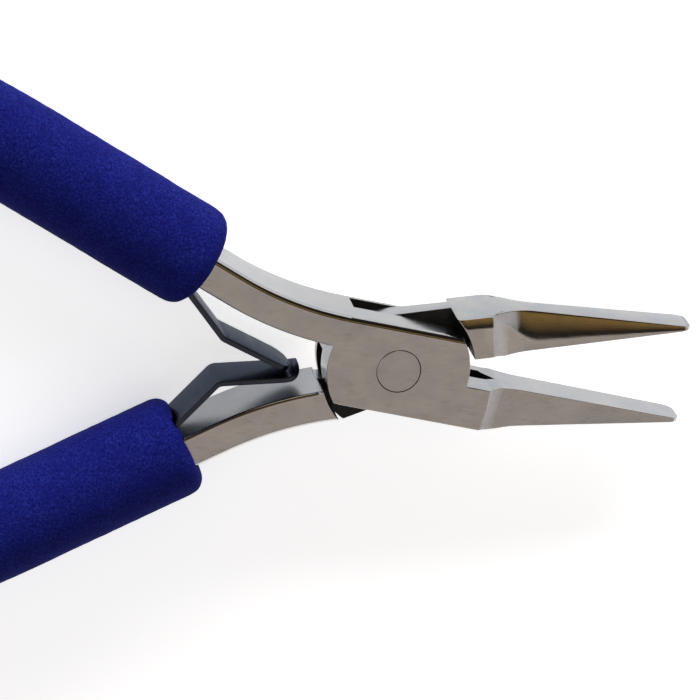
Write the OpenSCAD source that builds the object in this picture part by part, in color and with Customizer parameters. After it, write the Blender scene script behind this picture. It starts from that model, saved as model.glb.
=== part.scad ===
// Flat nose pliers with a box joint, two hooked leaf springs and foam grips.
// The pivot axis is Z. X runs along the middle of the opened jaws to their tips.
// The lower flat face of the joint lies in the plane z = 0.

/* [Joint] */
// Thickness of the joint, jaw roots and bare handles
joint_t = 8.2; // [7:0.1:10]
// Width of the joint across its two straight edges
joint_w = 10.6; // [9.8:0.1:11.4]
// Radius of the round ends of the box half's cheeks
cheek_r = 8.35; // [8.2:0.05:8.5]
// Radius of the shoulders of the through half
shoulder_r = 8.9; // [8.8:0.05:9.2]
// Diameter of the pivot rivet
rivet_d = 5.2; // [4:0.1:6]
// Angle between the jaws when the springs have opened them
open_angle = 18; // [10:1:20]

/* [Jaws] */
// Distance from the pivot to the jaw tips
jaw_reach = 35; // [28:0.5:42]
// Distance from the pivot to the crease where the jaws get thinner
crease_x = 11.1; // [10.5:0.1:12]
// Thickness of a jaw just past the crease
jaw_t = 5.0; // [4:0.1:6]
// Thickness of a jaw at its tip
tip_t = 4.2; // [3:0.1:5]
// Height of a jaw at its tip
tip_h = 0.45; // [0.3:0.05:1.5]

/* [Handles] */
// Height of a handle's section
handle_h = 3.9; // [3:0.1:4.5]
// Angle of a handle where it enters its grip
handle_angle = 20; // [16:1:22]
// Radius of the bend between the joint and the grip
root_bend_r = 39; // [36:1:42]
// Bare straight length of handle in front of the grip
bare_len = 3.6; // [3:0.1:5]
// Straight length of handle from the root bend on
straight_len = 28; // [24:1:32]
// Radius of the long bend inside the grip
grip_bend_r = 150; // [130:5:200]
// Angle of the long bend inside the grip
grip_bend = 22; // [16:1:24]

/* [Grips] */
// Outer diameter of a foam grip
grip_d = 12; // [11.5:0.1:14]
// Rounding of the front edge of a grip
grip_round = 2; // [1:0.1:2.5]

/* [Springs] */
// Thickness of the spring strip
leaf_t = 0.65; // [0.5:0.05:0.8]
// Width of the spring strip
leaf_w = 6; // [5:0.1:6.4]
// Diameter of the rivets that hold the springs
spring_rivet_d = 2.4; // [2:0.1:2.8]

/* [Hidden] */
$fn = 96;

half_open = open_angle / 2;
mid_z = joint_t / 2;
edge_y = joint_w / 2;          // straight edges of the joint
slack = 1;                     // how far cutting shapes overrun
far = 60;                      // larger than any half jaw

// The slot through the box half and the plate that turns in it
rear_cheek_t = 1.2;
slot_w = 3.0;
slot_z = rear_cheek_t;
face_play = 0.05;
plate_z = slot_z + face_play;
plate_t = slot_w - 2 * face_play;
pocket_r = 8.0;                // round pocket of the slot
plate_r = 7.75;                // round edges of the plate
heel_h = 1.5;                  // heel of the plate outside the joint's straight edge
heel_x = [-6.2, -0.6];         // where it starts to fade out and where it ends
jaw_arm = [-3, 62];            // directions kept open for the plate's jaw arm
handle_arm = [183, 238];       // and for its handle arm
bore_play = 0.04;              // radial play of the through half on the rivet
seat_play = 0.01;              // radial play of the seats of the rivets
head_chamfer = 0.12;
run_out_x = [11.1, 12.5];      // slanting end of the slot in the jaw, from its floor to its top
run_out_lift = 0.4;            // floor of the run-out above the slot's
run_out_depth = 1.7;

// Jaws
grip_play = 0.03;              // half the gap left between the closed jaws
relief_depth = 0.3;            // relief of the gripping face next to the joint
relief_end = 12.6;
relief_slope = 1.2;            // length over which the relief fades out
relief_start = cheek_r - 0.6;
crease_r = 8;                  // hollow behind the crease
crease_drop = (joint_t - jaw_t) / 2;
crease_len = sqrt(2 * crease_r * crease_drop - pow(crease_drop, 2));
back_start = 11.6;             // where the back of a jaw leaves the joint's edge
back_r = 12;                   // rounding there
back_run = 1.2;                // length that the rounding takes
back_slope = atan((edge_y - tip_h) / (jaw_reach - back_start - back_run));
tip_round = 1.2;               // rounded corners at the front edge of the jaws

// Handle line: root bend, straight, long bend
root_x = -7;                   // where the root bend starts
root_lap = 3;                  // how far the handle runs on into the joint
root_center = [root_x, edge_y + root_bend_r];
mid_r = root_bend_r + handle_h / 2;
bend_end = [root_x - mid_r * sin(handle_angle),
            root_center[1] - mid_r * cos(handle_angle)];
long_bend_center = [bend_end[0] - straight_len * cos(handle_angle) - grip_bend_r * sin(handle_angle),
                    bend_end[1] + straight_len * sin(handle_angle) - grip_bend_r * cos(handle_angle)];
bend_steps = 16;
tang_t = 6.4;                  // thickness of the handle inside the grip
tang_h = handle_h - 0.3;       // and its height there
tang_start = bare_len + 2.4;
tang_bend = grip_bend - 3;     // the tang ends short of the grip
tang_play = 0.02;
dome_end = 84;                 // angle at which the grip's dome ends in a small flat
bend_step = 0.02;              // the grip is this much thinner from each bend on

// Spring leaf, in the frame of its own handle
leaf_root_s = 6.5;             // where the leaf leaves the handle
foot_len = 8;
foot_gap = 0.02;
notch_play = 0.4;
elbow = [-20.6, -0.5];
rivet_s = leaf_root_s + 4.6;
spring_head_t = 0.8;
spring_head_d = 4;
spring_shank = 2.6;
hook_r = 0.95;                 // middle radius of the rolled hook
hook_turn = 100;               // angle that the hook is rolled through
tip_over = 0.4;                // how far the upper leaf's tip reaches past the middle of the hook
root_fold = 2;                 // middle radius of the leaf's bend at the handle
elbow_fold = 1.2;              // and at its elbow

function on_circle(c, r, a) = [c[0] + r * cos(a), c[1] + r * sin(a)];
function arc(c, r, a0, a1, n) = [for (i = [0 : n]) on_circle(c, r, a0 + (a1 - a0) * i / n)];
// A point s along the straight handle and d to its inner side
function along(s, d) = [bend_end[0] - s * cos(handle_angle) - d * sin(handle_angle),
                        bend_end[1] + s * sin(handle_angle) - d * cos(handle_angle)];

steel = [0.62, 0.62, 0.64];
blued = [0.16, 0.19, 0.24];
foam = [0.14, 0.10, 0.52];

// ---------- outlines in the frame of one half: jaw along +X, below the axis ----------

module sector(a0, a1, r) {
    steps = 8;
    polygon(concat([[0, 0]], [for (i = [0 : steps]) r * [cos(a0 + (a1 - a0) * i / steps),
                                                        sin(a0 + (a1 - a0) * i / steps)]]));
}

// Straight-sided part of the joint between two round ends
module joint_outline(r) {
    intersection() {
        circle(r);
        translate([-far / 2, -edge_y]) square([far, joint_w]);
    }
}

// Side view of a jaw: gripping face on top, sloping back below
module jaw_outline() {
    back_center = [back_start, -edge_y + back_r];
    polygon(concat(
        [[0, -edge_y]],
        arc(back_center, back_r, -90, -90 + back_slope, 10),
        [[jaw_reach, -grip_play - tip_h],
         [jaw_reach, -grip_play],
         [relief_end, -grip_play],
         [relief_end - relief_slope, -grip_play - relief_depth],
         [relief_start, -grip_play - relief_depth],
         [0, -grip_play - relief_depth]]));
}

// Jaw thickness seen from the gripping face, with the hollow behind the crease
module jaw_plan() {
    end_x = crease_x + crease_len;
    top = arc([end_x, jaw_t / 2 + crease_r], crease_r,
              -90 - asin(crease_len / crease_r), -90, 10);
    tip = [jaw_reach - tip_round, tip_t / 2 + (jaw_t - tip_t) / 2 * tip_round / (jaw_reach - end_x)];
    corner = arc([jaw_reach - tip_round, tip[1] - tip_round], tip_round, 90, 0, 6);
    upper = concat([[-2 * far, joint_t / 2]], top, corner);
    polygon(concat(upper, [for (i = [len(upper) - 1 : -1 : 0]) [upper[i][0], -upper[i][1]]]));
}

// Bare handle: root bend and the straight length up to the tang
module handle_outline() {
    outer = arc(root_center, root_bend_r, 270, 270 - handle_angle, bend_steps);
    inner = arc(root_center, root_bend_r + handle_h, 270 - handle_angle, 270, bend_steps);
    polygon(concat([[root_x + root_lap, edge_y]], outer,
                   [along(tang_start, -handle_h / 2), along(tang_start, handle_h / 2)],
                   inner, [[root_x + root_lap, edge_y - handle_h]]));
}

// Tang inside the grip, grown by g on every side
module tang_outline(bend, g = 0) {
    h = tang_h / 2 + g;
    c = long_bend_center;
    a = 90 - handle_angle;
    polygon(concat([along(tang_start - 1, h), along(tang_start - 1, -h)],
                   arc(c, grip_bend_r + h, a, a + bend, bend_steps),
                   arc(c, grip_bend_r - h, a + bend, a, bend_steps)));
}

module tang_solid(bend, g = 0) {
    translate([0, 0, mid_z - tang_t / 2 - g]) linear_extrude(tang_t + 2 * g) tang_outline(bend, g);
}

// Straight handle between two places along it, grown by g on every side
module straight_solid(s0, s1, t, g = 0) {
    translate([bend_end[0], bend_end[1], mid_z])
        rotate([0, 0, 180 - handle_angle])
            translate([s0, -handle_h / 2 - g, -t / 2 - g])
                cube([s1 - s0, handle_h + 2 * g, t + 2 * g]);
}

// Places the long bend: its profile is drawn at [grip_bend_r, 0]
module on_long_bend(angle) {
    translate([long_bend_center[0], long_bend_center[1], mid_z])
        rotate([0, 0, 90 - handle_angle])
            rotate_extrude(angle = angle)
                translate([grip_bend_r, 0]) children();
}

// Jaw, joint and bare handle drawn by the children, thinned to the jaw's plan
module thinned_solid() {
    intersection() {
        linear_extrude(joint_t) children();
        translate([0, 0, mid_z]) rotate([90, 0, 0])
            translate([0, 0, -far / 2]) linear_extrude(far) jaw_plan();
    }
}

// Hole in the handle for the spring's rivet
module spring_rivet_hole(d) {
    p = along(rivet_s, handle_h / 2 - spring_shank);
    translate([p[0], p[1], mid_z]) rotate([90, 0, -handle_angle])
        cylinder(d = d, h = spring_shank + slack);
}

// ---------- the two steel halves ----------

module box_half_shape() {
    difference() {
        union() {
            thinned_solid() {
                joint_outline(cheek_r);
                jaw_outline();
                handle_outline();
            }
            tang_solid(tang_bend);
        }
        translate([0, 0, slot_z]) linear_extrude(slot_w) {
            circle(pocket_r);
            sector(jaw_arm[0], jaw_arm[1], shoulder_r + slack);
            sector(handle_arm[0], handle_arm[1], shoulder_r + slack);
        }
        // run-out of the slot into the jaw, with a slanting end
        translate([0, slack, 0]) rotate([90, 0, 0]) linear_extrude(slack + run_out_depth)
            polygon([[pocket_r - slack, slot_z + run_out_lift], [run_out_x[0], slot_z + run_out_lift],
                     [run_out_x[1], slot_z + slot_w], [pocket_r - slack, slot_z + slot_w]]);
        translate([0, 0, -slack]) cylinder(d = rivet_d + 2 * seat_play, h = joint_t + 2 * slack);
        spring_rivet_hole(spring_rivet_d + 2 * seat_play);
    }
}

module through_half_shape() {
    mirror([0, 1, 0]) difference() {
        union() {
            difference() {
                thinned_solid() {
                    jaw_outline();
                    handle_outline();
                }
                translate([0, 0, -slack]) cylinder(r = shoulder_r, h = joint_t + 2 * slack);
            }
            tang_solid(tang_bend);
            translate([0, 0, plate_z]) linear_extrude(plate_t) {
                joint_outline(plate_r);
                // arms that join the plate to the jaw and to the handle, and its heel
                intersection() {
                    circle(shoulder_r + 0.2);
                    union() {
                        polygon([[-far, edge_y - slack], [-far, edge_y + heel_h], [heel_x[0], edge_y + heel_h],
                                 [heel_x[1], edge_y], [heel_x[1], edge_y - slack]]);
                        translate([0, -edge_y]) square([far, edge_y - grip_play - relief_depth]);
                        translate([-far, edge_y - handle_h]) square([far, handle_h]);
                    }
                }
            }
        }
        translate([0, 0, -slack]) cylinder(d = rivet_d + 2 * bore_play, h = joint_t + 2 * slack);
        spring_rivet_hole(spring_rivet_d + 2 * seat_play);
    }
}

// ---------- springs ----------

// Strip of the spring's thickness along a line of points
module strip(points) {
    n = len(points);
    dirs = [for (i = [0 : n - 1]) let (a = points[max(i - 1, 0)], b = points[min(i + 1, n - 1)])
            (b - a) / norm(b - a)];
    side = [for (d = dirs) [-d[1], d[0]] * leaf_t / 2];
    polygon(concat([for (i = [0 : n - 1]) points[i] + side[i]],
                   [for (i = [n - 1 : -1 : 0]) points[i] - side[i]]));
}

// Rounds the corner at b of the line a-b-c with radius r
function corner(a, b, c, r, n) =
    let (u = (a - b) / norm(a - b), v = (c - b) / norm(c - b), half = acos(u * v) / 2,
         m = (u + v) / norm(u + v), o = b + m * r / sin(half),
         p = b + u * r / tan(half), q = b + v * r / tan(half),
         a0 = atan2(p[1] - o[1], p[0] - o[0]), a1 = atan2(q[1] - o[1], q[0] - o[0]),
         d = a1 - a0 > 180 ? a1 - a0 - 360 : a1 - a0 < -180 ? a1 - a0 + 360 : a1 - a0)
    [for (i = [0 : n]) on_circle(o, r, a0 + d * i / n)];

foot_line = handle_h / 2 + foot_gap + leaf_t / 2;
foot_end = along(leaf_root_s + foot_len, foot_line);
leaf_root = along(leaf_root_s, foot_line);
// Both leaves meet at the hook, given here in the frame of the opened pliers
hook_at = [-12.3, -1.0];
function to_upper(p) = [p[0] * cos(half_open) - p[1] * sin(half_open),
                        p[0] * sin(half_open) + p[1] * cos(half_open)];
function to_lower(p) = let (q = [p[0] * cos(half_open) + p[1] * sin(half_open),
                                 -p[0] * sin(half_open) + p[1] * cos(half_open)]) [q[0], -q[1]];

module leaf_solid(points) {
    difference() {
        translate([0, 0, mid_z - leaf_w / 2]) linear_extrude(leaf_w) strip(points);
        spring_foot_hole();
    }
}

module spring_foot_hole() {
    p = along(rivet_s, handle_h / 2 - slack);
    translate([p[0], p[1], mid_z]) rotate([90, 0, -handle_angle])
        cylinder(d = spring_rivet_d + 2 * seat_play, h = 2 * slack + leaf_t + 1);
}

// Upper leaf: its straight tip rests in the hook of the lower leaf
module upper_leaf_shape() {
    h = to_upper(hook_at);
    tip = h + tip_over * (h - elbow) / norm(h - elbow);
    leaf_solid(concat([foot_end], corner(foot_end, leaf_root, elbow, root_fold, 6),
                      corner(leaf_root, elbow, tip, elbow_fold, 6), [tip]));
}

// Lower leaf: its end is rolled over into a hook around the upper leaf's tip
module lower_leaf_shape() {
    h = to_lower(hook_at);
    along_leaf = (h - elbow) / norm(h - elbow);
    start_a = atan2(along_leaf[1], along_leaf[0]) + 90;
    leaf_solid(concat([foot_end], corner(foot_end, leaf_root, elbow, root_fold, 6),
                      corner(leaf_root, elbow, h + hook_r * [cos(start_a), sin(start_a)], elbow_fold, 6),
                      arc(h, hook_r, start_a, start_a - hook_turn, 16)));
}

module spring_rivet_shape() {
    p = along(rivet_s, handle_h / 2 - spring_shank + 0.1);
    shank = spring_shank - 0.1 + leaf_t + 2 * foot_gap;
    translate([p[0], p[1], mid_z]) rotate([90, 0, -handle_angle]) {
        cylinder(d = spring_rivet_d, h = shank + 0.01);
        translate([0, 0, shank]) cylinder(d = spring_head_d, h = spring_head_t);
    }
}

// ---------- grips ----------

module grip_shape() {
    r = grip_d / 2;
    difference() {
        union() {
            translate([bend_end[0], bend_end[1], mid_z])
                rotate([0, 0, 180 - handle_angle]) rotate([0, 90, 0])
                    rotate_extrude() polygon(concat(
                        [[0, bare_len]],
                        arc([r - grip_round, bare_len + grip_round], grip_round, -90, 0, 8),
                        [[r, straight_len], [0, straight_len]]));
            on_long_bend(grip_bend) circle(r - bend_step);
            grip_end(r - 2 * bend_step);
        }
        straight_solid(bare_len - slack, tang_start + tang_play, joint_t, tang_play);
        tang_solid(tang_bend + 0.3, tang_play);
        spring_notch();
    }
}

// Domed end of a grip
module grip_end(r) {
    a = 90 - handle_angle + grip_bend;
    e = on_circle(long_bend_center, grip_bend_r, a);
    translate([e[0], e[1], mid_z]) rotate([0, 0, a]) rotate([-90, 0, 0])
        rotate_extrude() polygon(concat([[0, 0]], arc([0, 0], r, 0, dome_end, 12), [[0, r * sin(dome_end)]]));
}

// Room under the grip for the spring's foot, its rivet head and the moving leaf
module spring_notch() {
    inner = handle_h / 2 - 0.5;
    d = (elbow - leaf_root) / norm(elbow - leaf_root);
    n = [d[1], -d[0]];
    low = leaf_root + n * (leaf_t / 2 + notch_play);
    translate([0, 0, mid_z - leaf_w / 2 - 0.2]) linear_extrude(leaf_w + 0.4)
        polygon([along(leaf_root_s + foot_len + 0.3, inner),
                 along(leaf_root_s + foot_len + 0.3, foot_line + leaf_t / 2 + spring_head_t + 0.3),
                 along(leaf_root_s, foot_line + leaf_t / 2 + spring_head_t + 0.3),
                 low + d * 1.5, low + d * 14, along(bare_len - slack, inner)]);
}

// ---------- placing ----------

module upper_side() { rotate([0, 0, -half_open]) children(); }
module lower_side() { rotate([0, 0, half_open]) children(); }

module box_half() { color(steel) upper_side() box_half_shape(); }
module through_half() { color(steel) lower_side() through_half_shape(); }
module upper_leaf_spring() { color(blued) upper_side() upper_leaf_shape(); }
module lower_leaf_spring() { color(blued) lower_side() mirror([0, 1, 0]) lower_leaf_shape(); }
module upper_spring_rivet() { color(steel) upper_side() spring_rivet_shape(); }
module lower_spring_rivet() { color(steel) lower_side() mirror([0, 1, 0]) spring_rivet_shape(); }
module upper_grip() { color(foam) upper_side() grip_shape(); }
module lower_grip() { color(foam) lower_side() mirror([0, 1, 0]) grip_shape(); }

// Flush rivet with a fine chamfer at both ends
module pivot_rivet() {
    color(steel) rotate_extrude() polygon([
        [0, 0], [rivet_d / 2 - head_chamfer, 0], [rivet_d / 2, head_chamfer],
        [rivet_d / 2, joint_t - head_chamfer], [rivet_d / 2 - head_chamfer, joint_t], [0, joint_t]]);
}

box_half();
through_half();
pivot_rivet();
upper_leaf_spring();
lower_leaf_spring();
upper_spring_rivet();
lower_spring_rivet();
upper_grip();
lower_grip();
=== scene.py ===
"""Flat nose pliers: surfaces, foam, springs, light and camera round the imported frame."""

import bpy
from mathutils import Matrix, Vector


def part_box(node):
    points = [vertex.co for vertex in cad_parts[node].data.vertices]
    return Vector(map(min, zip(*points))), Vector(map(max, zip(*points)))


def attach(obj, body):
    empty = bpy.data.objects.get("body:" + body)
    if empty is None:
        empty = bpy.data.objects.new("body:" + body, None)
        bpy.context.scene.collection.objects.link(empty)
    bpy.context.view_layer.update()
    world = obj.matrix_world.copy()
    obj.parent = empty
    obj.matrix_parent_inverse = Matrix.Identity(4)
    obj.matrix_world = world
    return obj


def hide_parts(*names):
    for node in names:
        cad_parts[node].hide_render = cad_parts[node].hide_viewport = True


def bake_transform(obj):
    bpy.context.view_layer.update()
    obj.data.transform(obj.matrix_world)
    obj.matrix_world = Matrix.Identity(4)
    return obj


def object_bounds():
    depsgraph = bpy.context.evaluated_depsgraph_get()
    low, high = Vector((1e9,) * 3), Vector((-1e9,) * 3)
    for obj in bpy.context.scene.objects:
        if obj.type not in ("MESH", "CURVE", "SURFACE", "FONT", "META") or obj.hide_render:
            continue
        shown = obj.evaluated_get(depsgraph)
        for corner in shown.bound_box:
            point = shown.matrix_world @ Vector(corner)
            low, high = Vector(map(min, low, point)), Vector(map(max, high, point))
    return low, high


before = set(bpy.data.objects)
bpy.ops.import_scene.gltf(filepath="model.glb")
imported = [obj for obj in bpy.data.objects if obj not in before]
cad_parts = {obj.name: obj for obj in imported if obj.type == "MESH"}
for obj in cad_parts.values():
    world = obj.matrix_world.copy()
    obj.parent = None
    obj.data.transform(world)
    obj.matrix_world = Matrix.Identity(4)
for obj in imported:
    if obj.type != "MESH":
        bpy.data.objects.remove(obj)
cad_box = [list(corner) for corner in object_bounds()]

import math

import bmesh
import bpy
from mathutils import Matrix, Vector, noise

MM = 0.001

# The frame of one half, as the CAD draws it: jaw along +X below the axis, handle up to the left.
# The box half is turned down by half the opening, the through half is its mirror turned up.
HALF_OPEN = math.radians(9)
TO_MODEL = {
    "box_half": Matrix.Rotation(-HALF_OPEN, 4, "Z"),
    "through_half": Matrix.Rotation(HALF_OPEN, 4, "Z") @ Matrix.Scale(-1, 4, (0, 1, 0)),
}

# Joint, jaws and handles, as in the CAD
JOINT_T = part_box("pivot_rivet")[1].z
MID_Z = JOINT_T / 2
EDGE_Y = 5.3 * MM
JAW_REACH = 35 * MM
TIP_H = 0.45 * MM
GRIP_Y = -0.03 * MM
CREASE_X = 11.1 * MM
BACK_START = 11.6 * MM
BACK_R = 12 * MM
BACK_SLOPE = math.atan((EDGE_Y - TIP_H) / (JAW_REACH - BACK_START - 1.2 * MM))
SHOULDER_R = 8.9 * MM
SHOULDER_X = 7.1 * MM
SLOT_Z = 1.2 * MM
SLOT_W = 3.0 * MM
HANDLE_H = 3.9 * MM
HANDLE_ANGLE = math.radians(20)
ROOT_R = 39 * MM
ROOT_CENTER = Vector((-7 * MM, EDGE_Y + ROOT_R))
HANDLE_MID_R = ROOT_R + HANDLE_H / 2

# Distances from the pivot: the slot's walls end before SLOT_REACH, the handle starts at HANDLE_FROM
SLOT_REACH = 14 * MM
HANDLE_FROM = 9.3 * MM

# Springs, as in the CAD, but the upper leaf's tip reaches less far into the hook, which leaves it
# room when the handles close
LEAF_T = 0.65 * MM
LEAF_W = 6 * MM
LEAF_ROOT_S = 6.5 * MM
FOOT_LEN = 8 * MM
FOOT_GAP = 0.02 * MM
FOOT_LINE = HANDLE_H / 2 + FOOT_GAP + LEAF_T / 2
ELBOW = Vector((-20.6, -0.5)) * MM
HOOK_AT = Vector((-12.3, -1.0)) * MM
HOOK_R = 0.95 * MM
HOOK_TURN = math.radians(100)
TIP_OVER = 0.15 * MM
ROOT_FOLD_R = 2 * MM
ELBOW_FOLD_R = 1.2 * MM

# Springs, drawn here only: rounded long edges, rounded corners at the far ends, and the bending part
STRIP_CORNER = 0.12 * MM
BEND_STEP = 0.35 * MM
BEND_SHARE = 0.45
UPPER_END_R = 2.2 * MM
LOWER_END_R = 2.8 * MM

# Spring rivets
HEAD_R = 2 * MM
HEAD_T = 0.8 * MM
HEAD_RIM = 0.2 * MM
SHANK_R = 1.2 * MM
SHANK_DEPTH = 2.5 * MM
SPRING_RIVET_S = LEAF_ROOT_S + 4.6 * MM

# Ground and polished edges; blunter edges and those of the pivot's hole stay as they are
WIDE_EDGE = 0.75 * MM
INNER_EDGE = 0.4 * MM
FINE_EDGE = 0.12 * MM
SHARP_EDGE = 0.05 * MM
JAW_EDGE = 0.16 * MM
MIN_EDGE_ANGLE = math.radians(28)
HOLE_CLEAR_R = 3 * MM
JAW_RIM_Z = 1.3 * MM
JOINT_RIM_DEPTH = 0.4 * MM

# Polished rounding of the jaws: where it is cut, how wide it is and how it falls towards the edge
JAW_CUTS = [x * MM for x in (
    8.2, 9.6, 11.1, 11.6, 12.2, 12.9, 13.6, 14.3, 15.1, 15.9, 16.6, 17.4, 18.3, 19.3,
    20.5, 22, 24, 26, 28, 30, 32, 33.8)]
ACROSS = (0.1, 0.2, 0.3, 0.4, 0.5, 0.6, 0.7, 0.8, 0.88, 0.95, 1.0)
ROOT_ROUND = 1.5 * MM
JAW_ROUND_SHARE = 0.88
WIDTH_GROWS = (12.2 * MM, 17 * MM)
POLISH_GROWS = (CREASE_X, 16 * MM)
ROUND_SLOPE = math.tan(math.radians(20.5))
ROUND_POWER = 1.4

# Foam grips
FOAM_VOXEL = 0.36 * MM
FOAM_SMOOTHING = 3


# ---------------------------------------------------------------- node helpers

def new_material(name):
    material = bpy.data.materials.new(name)
    material.use_nodes = True
    tree = material.node_tree
    return material, tree, tree.nodes["Principled BSDF"]


def add(tree, kind, inputs=None, **settings):
    """A node of one kind, with its settings and its input values or links."""
    node = tree.nodes.new(kind)
    for key, value in settings.items():
        setattr(node, key, value)
    for key, value in (inputs or {}).items():
        if isinstance(value, bpy.types.NodeSocket):
            tree.links.new(value, node.inputs[key])
        else:
            node.inputs[key].default_value = value
    return node


def ramp(tree, fac, stops, interpolation="LINEAR"):
    """Colour ramp; stops are (position, colour) with a grey given as one number."""
    node = add(tree, "ShaderNodeValToRGB", {"Fac": fac})
    node.color_ramp.interpolation = interpolation
    elements = node.color_ramp.elements
    while len(elements) < len(stops):
        elements.new(0.5)
    for element, (position, colour) in zip(elements, stops):
        element.position = position
        rgb = (colour,) * 3 if isinstance(colour, (int, float)) else colour
        element.color = (*rgb, 1)
    return node.outputs["Color"]


def object_noise(tree, scale, stretch=(1, 1, 1), detail=3, roughness=0.55):
    """Noise in the object's own coordinates, scale per metre, stretched along the axes."""
    place = add(tree, "ShaderNodeTexCoord").outputs["Object"]
    mapped = add(tree, "ShaderNodeMapping", {"Vector": place, "Scale": stretch})
    texture = add(tree, "ShaderNodeTexNoise", {
        "Vector": mapped.outputs["Vector"], "Scale": scale, "Detail": detail, "Roughness": roughness})
    return texture.outputs["Fac"]


def math_node(tree, operation, a, b=0.0, clamp=False):
    """Output of a math node; a third input is set by the caller."""
    return add(tree, "ShaderNodeMath", {0: a, 1: b}, operation=operation, use_clamp=clamp).outputs[0]


def mix_colour(tree, fac, a, b, blend="MIX"):
    """Colour between a and b; each input is a value or another node's output."""
    node = add(tree, "ShaderNodeMix", data_type="RGBA", blend_type=blend)
    for index, value in ((0, fac), (6, a), (7, b)):
        if isinstance(value, bpy.types.NodeSocket):
            tree.links.new(value, node.inputs[index])
        else:
            node.inputs[index].default_value = value if index == 0 else (*value, 1)
    return node.outputs[2]


# ---------------------------------------------------------------- materials

def steel_material(name, tone, grain):
    """Ground steel: brushed flat faces, polished rounded edges, satin sides painted darker and cooler
    than the flat faces as painted shade.

    grain is the stretch of the brush lines along X, Y and Z.
    """
    material, tree, shader = new_material(name)
    normal = add(tree, "ShaderNodeTexCoord").outputs["Normal"]
    upright = math_node(tree, "ABSOLUTE", add(tree, "ShaderNodeSeparateXYZ", {0: normal}).outputs["Z"])
    lines = object_noise(tree, 1, grain, detail=2, roughness=0.6)
    clouds = object_noise(tree, 260, (1, 1.6, 1), detail=4)
    smears = object_noise(tree, 900, (0.5, 1.5, 1), detail=5, roughness=0.7)

    # Painted shade by face direction: the sides get a darker, cooler copy of the steel colour than the
    # flat faces.
    warm = tuple(c * t for c, t in zip((0.66, 0.615, 0.575), tone))
    painted_side_shade = tuple(c * t for c, t in zip((0.315, 0.34, 0.37), tone))
    flat_face = ramp(tree, upright, [(0.0, 0.0), (0.45, 0.0), (0.9, 1.0)])
    body = mix_colour(tree, flat_face, painted_side_shade, warm)
    body = mix_colour(tree, ramp(tree, clouds, [(0.35, 0.0), (0.7, 0.5)]), body,
                      tuple(0.72 * c for c in warm))
    streaks = ramp(tree, lines, [(0.25, 0.72), (0.5, 1.0), (0.8, 1.12)])
    body = mix_colour(tree, 0.35, body, streaks, "MULTIPLY")
    stains = ramp(tree, smears, [(0.56, 0.0), (0.75, 0.45)])
    body = mix_colour(tree, math_node(tree, "MULTIPLY", stains, flat_face), body, (0.30, 0.26, 0.23))
    tree.links.new(body, shader.inputs["Base Color"])

    finish = ramp(tree, upright, [(0.0, 0.24), (0.3, 0.20), (0.45, 0.10), (0.985, 0.10), (0.998, 0.30)])
    rough = math_node(tree, "MULTIPLY_ADD", lines, 0.10)
    rough.node.inputs[2].default_value = -0.05
    rough = math_node(tree, "ADD", finish, rough, clamp=True)
    tree.links.new(rough, shader.inputs["Roughness"])
    shader.inputs["Metallic"].default_value = 1.0

    fine = add(tree, "ShaderNodeBump", {"Strength": 0.10, "Distance": 0.02 * MM, "Height": lines})
    wavy = object_noise(tree, 420, (0.6, 1, 1), detail=1)
    waves = add(tree, "ShaderNodeBump", {
        "Strength": 0.35, "Distance": 0.02 * MM, "Height": wavy, "Normal": fine.outputs["Normal"]})
    tree.links.new(waves.outputs["Normal"], shader.inputs["Normal"])
    return material


def scale_and_slot_shade_material():
    """Black scale left by the forge where no wheel reaches; in the slot and on the plate inside it,
    this near-black is painted shade.
    """
    material, tree, shader = new_material("forge_scale_and_slot_shade")
    scale = object_noise(tree, 1400, detail=5, roughness=0.7)
    body = ramp(tree, scale, [
        (0.35, (0.012, 0.012, 0.012)), (0.6, (0.022, 0.021, 0.019)), (0.8, (0.06, 0.055, 0.05))])
    tree.links.new(body, shader.inputs["Base Color"])
    tree.links.new(ramp(tree, scale, [(0.3, 0.65), (0.8, 0.38)]), shader.inputs["Roughness"])
    shader.inputs["Metallic"].default_value = 0.6
    bump = add(tree, "ShaderNodeBump", {"Strength": 0.4, "Distance": 0.05 * MM, "Height": scale})
    tree.links.new(bump.outputs["Normal"], shader.inputs["Normal"])
    return material


def blued_material():
    """Spring steel blued dark, with paler rubbed patches."""
    material, tree, shader = new_material("blued_spring_steel")
    rubbed = object_noise(tree, 700, (1, 1, 0.35), detail=5, roughness=0.65)
    lines = object_noise(tree, 1, (2500, 2500, 18000), detail=2)
    body = ramp(tree, rubbed, [
        (0.3, (0.052, 0.057, 0.078)), (0.6, (0.066, 0.072, 0.094)), (0.8, (0.11, 0.12, 0.14))])
    tree.links.new(body, shader.inputs["Base Color"])
    rough = ramp(tree, rubbed, [(0.3, 0.24), (0.8, 0.4)])
    tree.links.new(rough, shader.inputs["Roughness"])
    shader.inputs["Metallic"].default_value = 1.0
    shader.inputs["Specular Tint"].default_value = (0.52, 0.55, 0.6, 1)
    bump = add(tree, "ShaderNodeBump", {"Strength": 0.12, "Distance": 0.02 * MM, "Height": lines})
    tree.links.new(bump.outputs["Normal"], shader.inputs["Normal"])
    return material


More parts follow.
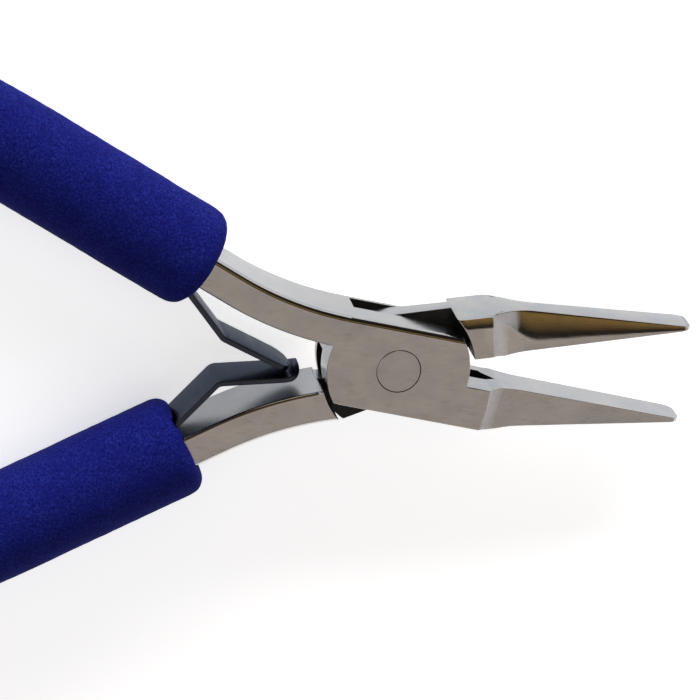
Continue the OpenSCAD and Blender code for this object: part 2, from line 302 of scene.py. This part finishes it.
def foam_material():
    """Matt blue foam: fine open cells, lighter rubbed fluff and darker pits."""
    material, tree, shader = new_material("blue_foam")
    cells = object_noise(tree, 3600, detail=4, roughness=0.7)
    blotches = object_noise(tree, 420, detail=3)
    fluff = object_noise(tree, 1500, detail=5, roughness=0.75)
    body = ramp(tree, cells, [
        (0.3, (0.002, 0.002, 0.055)), (0.5, (0.007, 0.010, 0.125)), (0.72, (0.018, 0.027, 0.23))])
    dark_patches = ramp(tree, blotches, [(0.35, 0.0), (0.7, 0.45)])
    body = mix_colour(tree, dark_patches, body, (0.005, 0.005, 0.09))
    pale_fluff = ramp(tree, fluff, [(0.58, 0.0), (0.75, 0.4)])
    body = mix_colour(tree, pale_fluff, body, (0.026, 0.042, 0.27))
    tree.links.new(body, shader.inputs["Base Color"])
    shader.inputs["Roughness"].default_value = 0.88
    shader.inputs["Specular IOR Level"].default_value = 0.05
    shader.inputs["Sheen Weight"].default_value = 0.01
    shader.inputs["Sheen Roughness"].default_value = 0.5
    shader.inputs["Sheen Tint"].default_value = (0.55, 0.55, 1.0, 1)
    pits = add(tree, "ShaderNodeTexVoronoi", {
        "Vector": add(tree, "ShaderNodeTexCoord").outputs["Object"], "Scale": 2600})
    grain = add(tree, "ShaderNodeBump", {"Strength": 0.55, "Distance": 0.10 * MM, "Height": cells})
    bump = add(tree, "ShaderNodeBump", {
        "Strength": 0.35, "Distance": 0.12 * MM, "Height": pits.outputs["Distance"],
        "Normal": grain.outputs["Normal"]})
    tree.links.new(bump.outputs["Normal"], shader.inputs["Normal"])
    return material


def floor_material():
    """Plain pale floor that glows a little, so that it comes out nearly white."""
    material, tree, shader = new_material("pale_floor")
    tone = object_noise(tree, 6, detail=2)
    tree.links.new(ramp(tree, tone, [(0.3, 0.90), (0.7, 0.93)]), shader.inputs["Base Color"])
    shader.inputs["Roughness"].default_value = 0.9
    shader.inputs["Specular IOR Level"].default_value = 0.1
    shader.inputs["Emission Color"].default_value = (0.97, 0.98, 1.0, 1)
    shader.inputs["Emission Strength"].default_value = 0.58
    return material


STEEL = steel_material("ground_steel", (1, 1, 1), (700, 9000, 9000))
RIVET_STEEL = steel_material("rivet_steel", (0.97, 0.97, 0.98), (900, 9000, 9000))
# Near-black forge scale, also used as painted shade in the slot and on the plate inside it.
SCALE_AND_SLOT_SHADE = scale_and_slot_shade_material()
BLUED = blued_material()
FOAM = foam_material()


# ---------------------------------------------------------------- mesh helpers

def piece(name, bm, material):
    """Turns a bmesh into an object of the scene."""
    mesh = bpy.data.meshes.new(name)
    bm.to_mesh(mesh)
    bm.free()
    mesh.materials.append(material)
    made = bpy.data.objects.new(name, mesh)
    bpy.context.scene.collection.objects.link(made)
    return made


def apply_modifiers(made):
    """Gives the object the mesh that its modifiers make of it."""
    graph = bpy.context.evaluated_depsgraph_get()
    mesh = bpy.data.meshes.new_from_object(made.evaluated_get(graph))
    made.modifiers.clear()
    made.data = mesh


def node_bmesh(node):
    """The CAD node's mesh with its flat faces made whole."""
    bm = bmesh.new()
    bm.from_mesh(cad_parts[node].data)
    bmesh.ops.remove_doubles(bm, verts=bm.verts, dist=0.0005 * MM)
    bmesh.ops.dissolve_limit(bm, angle_limit=math.radians(0.3), verts=bm.verts, edges=bm.edges)
    return bm


# ---------------------------------------------------------------- the two steel halves

def outer_y(x):
    """Outer outline of a jaw at x, in the half's own frame."""
    if x <= BACK_START:
        return -EDGE_Y
    bend_end_x = BACK_START + BACK_R * math.sin(BACK_SLOPE)
    if x <= bend_end_x:
        return -EDGE_Y + BACK_R - math.sqrt(BACK_R ** 2 - (x - BACK_START) ** 2)
    bend_end_y = -EDGE_Y + BACK_R * (1 - math.cos(BACK_SLOPE))
    share = (x - bend_end_x) / (JAW_REACH - bend_end_x)
    return bend_end_y + share * (GRIP_Y - TIP_H - bend_end_y)


def blend_step(x, start, end):
    """Smooth step from 0 at start to 1 at end."""
    t = min(max((x - start) / (end - start), 0), 1)
    return t * t * (3 - 2 * t)


def round_width(x):
    """How far the polished rounding reaches in from the outer edge of a jaw."""
    jaw = JAW_ROUND_SHARE * (GRIP_Y - outer_y(x))
    return ROOT_ROUND + (jaw - ROOT_ROUND) * blend_step(x, *WIDTH_GROWS)


def round_drop(x, root_polish, jaw_polish):
    """How much the rounding lowers the face at the outer edge."""
    polish = root_polish + (jaw_polish - root_polish) * blend_step(x, *POLISH_GROWS)
    return polish * ROUND_SLOPE / ROUND_POWER * round_width(x)


def cut(bm, faces, point, normal):
    """Cuts the faces along a plane and keeps both sides."""
    geometry = list({g for f in faces for g in (f, *f.edges, *f.verts)})
    bmesh.ops.bisect_plane(bm, geom=geometry, dist=0.002 * MM, plane_co=point, plane_no=normal)


def flat_faces(bm, x0, x1):
    """Front and rear faces of the jaw between x0 and x1."""
    found = []
    for face in bm.faces:
        middle = face.calc_center_bounds()
        if abs(face.normal.z) > 0.5 and x0 < middle.x < x1 and middle.y < GRIP_Y:
            found.append(face)
    return found


def round_jaw(bm, root_polish, jaw_polish):
    """Rounds the outer edges of a jaw and its root by their polish, in the half's own frame."""
    for x in JAW_CUTS:
        near = [f for f in bm.faces if f.calc_center_bounds().x > 5 * MM]
        cut(bm, near, (x, 0, 0), (1, 0, 0))
    stations = [SHOULDER_X - 0.5 * MM, *JAW_CUTS, JAW_REACH]
    for x0, x1 in zip(stations, stations[1:]):
        for share in ACROSS:
            a = Vector((x0, outer_y(x0) + share * round_width(x0), 0))
            b = Vector((x1, outer_y(x1) + share * round_width(x1), 0))
            along = (b - a).normalized()
            bm.normal_update()
            cut(bm, flat_faces(bm, x0, x1), a, (-along.y, along.x, 0))
    surface_z = {}
    for vert in bm.verts:
        x, y, z = vert.co
        if x < SHOULDER_X - 0.1 * MM or y > GRIP_Y:
            continue
        on_flat = any(abs(f.normal.z) > 0.5 for f in vert.link_faces)
        away = y - outer_y(x)
        width = round_width(x)
        if on_flat and away < width:
            share = min(max(1 - away / width, 0), 1)
            drop = round_drop(x, root_polish, jaw_polish) * share ** ROUND_POWER
            surface_z[vert] = z - math.copysign(drop, z - MID_Z)
    for vert, z in surface_z.items():
        vert.co.z = z
    bm.normal_update()


def edge_width(edge, to_own):
    """Width of the ground edge between two faces, none where the surface runs on."""
    if len(edge.link_faces) != 2 or edge.calc_face_angle() < MIN_EDGE_ANGLE or not edge.is_convex:
        return 0
    slopes = sorted(abs(f.normal.z) for f in edge.link_faces)
    x, y, z = to_own @ ((edge.verts[0].co + edge.verts[1].co) / 2)
    from_pivot = math.hypot(x, y)
    if from_pivot < HOLE_CLEAR_R or abs(x - CREASE_X) < 0.05 * MM:
        return 0
    rim = slopes[0] < 0.35 and slopes[1] > 0.8
    if x > SHOULDER_X and rim and y < outer_y(x) + 0.1 * MM and abs(z - MID_Z) > JAW_RIM_Z:
        return INNER_EDGE if x < CREASE_X else JAW_EDGE
    if x > CREASE_X:
        return SHARP_EDGE
    if not rim or JOINT_RIM_DEPTH < z < JOINT_T - JOINT_RIM_DEPTH:
        return FINE_EDGE
    if x < ROOT_CENTER.x and from_pivot > HANDLE_FROM:
        outer = (Vector((x, y)) - ROOT_CENTER).length < HANDLE_MID_R
        return WIDE_EDGE if outer else INNER_EDGE
    if y > EDGE_Y - 0.1 * MM:
        return WIDE_EDGE
    return FINE_EDGE


def scale_and_slot_shade(face, node):
    """Walls and floors of the slot, the plate's faces and the shoulders: near-black, as forge scale on
    the shoulders and as painted shade in the slot and on the plate.
    """
    z = [v.co.z for v in face.verts]
    y = [abs(v.co.y) for v in face.verts]
    reach = [math.hypot(*v.co.xy) for v in face.verts]
    play = 0.02 * MM
    if node == "box_half":
        in_slot = min(z) > SLOT_Z - play and max(z) < SLOT_Z + SLOT_W + play
        return in_slot and max(reach) < SLOT_REACH and min(y) < EDGE_Y - play
    plate_face = abs(face.normal.z) > 0.5 and SLOT_Z < z[0] < SLOT_Z + SLOT_W
    return plate_face or (min(reach) > SHOULDER_R - play and max(reach) < SHOULDER_R + play)


def steel_half(node, name, root_polish, jaw_polish):
    """One steel half with its rounded jaw, its ground edges and near-black faces: forge scale, and
    painted shade in the slot.
    """
    bm = node_bmesh(node)
    to_model = TO_MODEL[node]
    to_own = to_model.inverted()
    bm.transform(to_own)
    bm.normal_update()
    for face in bm.faces:
        # Near-black second material: forge scale on the shoulders, painted shade on the slot's walls
        # and floors and on the plate's faces.
        face.material_index = int(scale_and_slot_shade(face, node))
    round_jaw(bm, root_polish, jaw_polish)
    bm.transform(to_model)
    bm.normal_update()
    weight = bm.edges.layers.float.new("bevel_weight_edge")
    for edge in bm.edges:
        edge[weight] = edge_width(edge, to_own) / WIDE_EDGE
    for face in bm.faces:
        face.smooth = True
    half = piece(name, bm, STEEL)
    half.data.materials.append(SCALE_AND_SLOT_SHADE)
    bevel = half.modifiers.new("ground_edges", "BEVEL")
    bevel.limit_method = "WEIGHT"
    bevel.width = WIDE_EDGE
    bevel.segments = 4
    bevel.use_clamp_overlap = False
    weld = half.modifiers.new("joined_corners", "WELD")
    weld.merge_threshold = 0.0005 * MM
    apply_modifiers(half)
    half.data.set_sharp_from_angle(angle=math.radians(32))
    rounded = half.vertex_groups.new(name="rounded")
    for vert in half.data.vertices:
        x, y, z = to_own @ vert.co
        if x > SHOULDER_X and y < outer_y(x) + 1.02 * round_width(x):
            rounded.add([vert.index], 1.0, "REPLACE")
    weighted = half.modifiers.new("flat_shading", "WEIGHTED_NORMAL")
    weighted.keep_sharp = True
    weighted.weight = 80
    weighted.vertex_group = "rounded"
    weighted.invert_vertex_group = True
    return half


# ---------------------------------------------------------------- springs

def along_handle(s, d):
    """A point s along the straight handle and d to its inner side, in the half's own frame."""
    end = ROOT_CENTER - HANDLE_MID_R * Vector((math.sin(HANDLE_ANGLE), math.cos(HANDLE_ANGLE)))
    back = Vector((-math.cos(HANDLE_ANGLE), math.sin(HANDLE_ANGLE)))
    inward = Vector((-math.sin(HANDLE_ANGLE), -math.cos(HANDLE_ANGLE)))
    return end + s * back + d * inward


def fold(a, b, c, radius, steps=8):
    """Points of the rounded corner at b of the line a-b-c."""
    u, v = (a - b).normalized(), (c - b).normalized()
    half = u.angle(v) / 2
    centre = b + (u + v).normalized() * radius / math.sin(half)
    start, end = b + u * radius / math.tan(half), b + v * radius / math.tan(half)
    turn = (start - centre).angle_signed(end - centre)
    return [centre + rotated(start - centre, -turn * i / steps) for i in range(steps + 1)]


def rotated(v, angle):
    """The vector turned by an angle, anticlockwise."""
    c, s = math.cos(angle), math.sin(angle)
    return Vector((v.x * c - v.y * s, v.x * s + v.y * c))


def spread(points, step):
    """The same line with points no further than step apart."""
    dense = [points[0]]
    for a, b in zip(points, points[1:]):
        count = max(1, math.ceil((b - a).length / step))
        dense += [a.lerp(b, i / count) for i in range(1, count + 1)]
    return dense


def strip_section(half_width):
    """Rounded rectangle across the strip: offset from its middle surface and height."""
    corner = STRIP_CORNER
    section = []
    for side, end, start in ((1, 1, 0), (-1, 1, 90), (-1, -1, 180), (1, -1, 270)):
        for i in range(4):
            angle = math.radians(start + 30 * i)
            section.append((side * (LEAF_T / 2 - corner) + corner * math.cos(angle),
                            end * (half_width - corner) + corner * math.sin(angle)))
    return section


def strip_bmesh(points, end_radius):
    """Sweeps the strip's section along a line of points; the far end has rounded corners."""
    bm = bmesh.new()
    lengths = [0]
    for a, b in zip(points, points[1:]):
        lengths.append(lengths[-1] + (b - a).length)
    rings = []
    for i, point in enumerate(points):
        direction = (points[min(i + 1, len(points) - 1)] - points[max(i - 1, 0)]).normalized()
        side = Vector((-direction.y, direction.x))
        left = min(lengths[-1] - lengths[i], end_radius)
        inset = end_radius - math.sqrt(max(end_radius ** 2 - (end_radius - left) ** 2, 0))
        ring = []
        for offset, height in strip_section(LEAF_W / 2 - inset):
            place = (point.x + side.x * offset, point.y + side.y * offset, MID_Z + height)
            ring.append(bm.verts.new(place))
        rings.append(ring)
    for low, high in zip(rings, rings[1:]):
        for k in range(len(low)):
            n = (k + 1) % len(low)
            bm.faces.new((low[k], low[n], high[n], high[k]))
    bm.faces.new(rings[0])
    bm.faces.new(rings[-1])
    bmesh.ops.recalc_face_normals(bm, faces=bm.faces)
    for face in bm.faces:
        face.smooth = True
    return bm


def leaf_spring(name, side, node, end_line, end_radius):
    """A leaf from its foot on the handle to the end given, in the half's own frame."""
    foot_end = along_handle(LEAF_ROOT_S + FOOT_LEN, FOOT_LINE)
    root = along_handle(LEAF_ROOT_S, FOOT_LINE)
    root_fold = fold(foot_end, root, ELBOW, ROOT_FOLD_R)
    elbow_fold = fold(root, ELBOW, end_line[0], ELBOW_FOLD_R)
    bm = strip_bmesh(spread([foot_end, *root_fold, *elbow_fold, *end_line], BEND_STEP), end_radius)
    bm.transform(TO_MODEL[side])
    bm.normal_update()
    bmesh.ops.recalc_face_normals(bm, faces=bm.faces)
    leaf = piece(name, bm, BLUED)
    leaf.data.set_sharp_from_angle(angle=math.radians(35))
    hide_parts(node)
    start = TO_MODEL[side] @ root.to_3d()
    end = TO_MODEL[side] @ root.lerp(ELBOW, BEND_SHARE).to_3d()
    return leaf, start, end


def own_point(side, point):
    """A point of the opened pliers in the frame of one half."""
    return (TO_MODEL[side].inverted() @ point.to_3d()).to_2d()


def hook_line(centre, start):
    """The rolled end of the lower leaf round the upper leaf's tip."""
    steps = 20
    turn = -HOOK_TURN
    return [centre + rotated(start, turn * i / steps) for i in range(steps + 1)]


def make_springs():
    """Both leaves, each from its foot on the handle to its free end."""
    centre = own_point("box_half", HOOK_AT)
    tip = centre + TIP_OVER * (centre - ELBOW).normalized()
    upper, start, end = leaf_spring(
        "upper_leaf", "box_half", "upper_leaf_spring", [tip], UPPER_END_R)
    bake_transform(upper)
    centre = own_point("through_half", HOOK_AT)
    direction = (centre - ELBOW).normalized()
    line = hook_line(centre, HOOK_R * Vector((-direction.y, direction.x)))
    lower, start, end = leaf_spring(
        "lower_leaf", "through_half", "lower_leaf_spring", line, LOWER_END_R)
    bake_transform(lower)


# ---------------------------------------------------------------- spring rivets

def make_spring_rivet(name, node, side, body):
    """Domed rivet head over the foot of a spring, on its shank."""
    shank = SHANK_DEPTH + LEAF_T + 2 * FOOT_GAP
    rim = shank + HEAD_RIM
    profile = [(0, 0), (SHANK_R, 0), (SHANK_R, shank), (HEAD_R, shank), (HEAD_R, rim)]
    for i in range(1, 9):
        angle = math.radians(90 * i / 8)
        profile.append((HEAD_R * math.cos(angle), rim + (HEAD_T - HEAD_RIM) * math.sin(angle)))
    base = along_handle(SPRING_RIVET_S, HANDLE_H / 2 - SHANK_DEPTH)
    inward = Vector((-math.sin(HANDLE_ANGLE), -math.cos(HANDLE_ANGLE), 0))
    axis_turn = Vector((0, 0, 1)).rotation_difference(inward).to_matrix().to_4x4()
    bm = bmesh.new()
    ring = [bm.verts.new((r, 0, h)) for r, h in profile]
    edges = [bm.edges.new(pair) for pair in zip(ring, ring[1:])]
    bmesh.ops.spin(
        bm, geom=[*ring, *edges], cent=(0, 0, 0), axis=(0, 0, 1), angle=math.tau, steps=48)
    bmesh.ops.remove_doubles(bm, verts=bm.verts, dist=0.001 * MM)
    bm.transform(TO_MODEL[side] @ Matrix.Translation((base.x, base.y, MID_Z)) @ axis_turn)
    bm.normal_update()
    bmesh.ops.recalc_face_normals(bm, faces=bm.faces)
    for face in bm.faces:
        face.smooth = True
    rivet = piece(name, bm, RIVET_STEEL)
    rivet.data.set_sharp_from_angle(angle=math.radians(40))
    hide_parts(node)
    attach(rivet, body)


# ---------------------------------------------------------------- foam grips

def make_grip(name, node, body):
    """Foam sleeve: the CAD sleeve with soft lips and a slightly uneven skin."""
    bm = bmesh.new()
    bm.from_mesh(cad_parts[node].data)
    bmesh.ops.remove_doubles(bm, verts=bm.verts, dist=0.0005 * MM)
    grip = piece(name, bm, FOAM)
    remesh = grip.modifiers.new("even_mesh", "REMESH")
    remesh.mode = "VOXEL"
    remesh.voxel_size = FOAM_VOXEL
    soften = grip.modifiers.new("soft_lips", "SMOOTH")
    soften.factor = 0.5
    soften.iterations = FOAM_SMOOTHING
    apply_modifiers(grip)
    places = [vert.co.copy() for vert in grip.data.vertices]
    normals = [vert.vector.copy() for vert in grip.data.vertex_normals]
    flat = []
    for place, normal in zip(places, normals):
        dents = 0.05 * noise.noise(place * 160)
        fine = 0.03 * noise.noise(place * 900)
        flat.extend(place + normal * (dents + fine - 0.02) * MM)
    grip.data.vertices.foreach_set("co", flat)
    for polygon in grip.data.polygons:
        polygon.use_smooth = True
    grip.data.update()
    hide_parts(node)
    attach(grip, body)


# ---------------------------------------------------------------- build

for node, name, body, root_polish, jaw_polish in (
        ("box_half", "box_half_steel", "box_side", 0, 0.4),
        ("through_half", "through_half_steel", "through_side", 1, 1)):
    half = steel_half(node, name, root_polish, jaw_polish)
    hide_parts(node)
    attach(half, body)

rivet_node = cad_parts["pivot_rivet"]
rivet_node.data.materials.clear()
rivet_node.data.materials.append(RIVET_STEEL)

make_springs()
make_spring_rivet("upper_rivet", "upper_spring_rivet", "box_half", "box_side")
make_spring_rivet("lower_rivet", "lower_spring_rivet", "through_half", "through_side")
make_grip("upper_foam_grip", "upper_grip", "box_side")
make_grip("lower_foam_grip", "lower_grip", "through_side")


# ---------------------------------------------------------------- floor, light, camera

def make_floor():
    """A wide floor just below the pliers."""
    size = 6.0
    bm = bmesh.new()
    bmesh.ops.create_grid(bm, x_segments=4, y_segments=4, size=size)
    bmesh.ops.translate(bm, verts=bm.verts, vec=(0, 0, cad_box[0][2] - 0.1 * MM))
    floor = piece("floor", bm, floor_material())


def make_world():
    """A coloured room for the steel to mirror.

    From front to back it is grey-brown, dark, golden, dark and bright. It is paler at both ends
    and nearly white along the floor.
    """
    world = bpy.data.worlds.new("studio")
    bpy.context.scene.world = world
    world.use_nodes = True
    tree = world.node_tree
    place = add(tree, "ShaderNodeTexCoord").outputs["Generated"]
    direction = add(tree, "ShaderNodeSeparateXYZ", {0: place})
    across = math_node(tree, "MULTIPLY_ADD", direction.outputs["Y"], 0.5)
    across.node.inputs[2].default_value = 0.5
    dark = (0.02, 0.018, 0.015)
    dome = ramp(tree, across, [
        (0.0, (0.34, 0.33, 0.33)), (0.25, (0.42, 0.40, 0.39)), (0.33, (0.42, 0.39, 0.36)),
        (0.44, (0.52, 0.49, 0.46)), (0.485, (0.44, 0.41, 0.38)), (0.52, dark), (0.565, dark),
        (0.60, (0.10, 0.068, 0.032)), (0.66, (0.26, 0.175, 0.065)), (0.70, (0.2, 0.13, 0.045)),
        (0.75, dark), (0.95, dark), (0.972, (1.0, 0.68, 0.28)), (0.985, (0.95, 0.93, 0.9))])
    ends = ramp(tree, math_node(tree, "ABSOLUTE", direction.outputs["X"]), [(0.76, 0.0), (0.9, 1.0)])
    dome = mix_colour(tree, ends, dome, (0.62, 0.62, 0.66))
    horizon = mix_colour(tree, ends, (0.92, 0.93, 0.96), (0.66, 0.66, 0.70))
    height = ramp(tree, direction.outputs["Z"], [(0.05, 0.0), (0.15, 1.0)])
    colour = mix_colour(tree, height, horizon, dome)
    background = tree.nodes["Background"]
    tree.links.new(colour, background.inputs["Color"])
    background.inputs["Strength"].default_value = 1.0


def make_light(name, place, size, power, colour=(1, 1, 1)):
    """A soft panel aimed at the tool; the steel mirrors the room and not the panel."""
    data = bpy.data.lights.new(name, "AREA")
    data.shape = "RECTANGLE"
    data.size, data.size_y = size
    data.energy = power
    data.color = colour
    lamp = bpy.data.objects.new(name, data)
    bpy.context.scene.collection.objects.link(lamp)
    lamp.location = place
    lamp.rotation_euler = (-Vector(place)).to_track_quat("-Z", "Y").to_euler()
    lamp.visible_glossy = False


def make_camera():
    """Long lens from above, tilted towards the upper edge of the picture."""
    tilt, azimuth, roll = math.radians(23.5), math.radians(121.1), math.radians(2.1)
    distance = 0.5
    aside = math.sin(tilt)
    toward = Vector((aside * math.cos(azimuth), aside * math.sin(azimuth), math.cos(tilt)))
    right = Vector((math.cos(roll), math.sin(roll), 0))
    right = (right - right.dot(toward) * toward).normalized()
    up = toward.cross(right)
    data = bpy.data.cameras.new("camera")
    data.sensor_width = 36
    data.lens = 223.7
    data.clip_start = 0.01
    camera = bpy.data.objects.new("camera", data)
    bpy.context.scene.collection.objects.link(camera)
    place = Vector((0, 0, MID_Z)) + distance * toward - 4.83 * MM * right + 0.98 * MM * up
    axes = Matrix((right, up, toward)).transposed().to_4x4()
    camera.matrix_world = Matrix.Translation(place) @ axes
    bpy.context.scene.camera = camera


make_floor()
make_world()
make_light("key", (-0.20, 1.84, 0.52), (2.2, 0.72), 56)
make_light("top", (0.0, 0.25, 1.0), (0.9, 0.9), 1.5)
make_camera()
bpy.context.scene.view_settings.view_transform = "Standard"
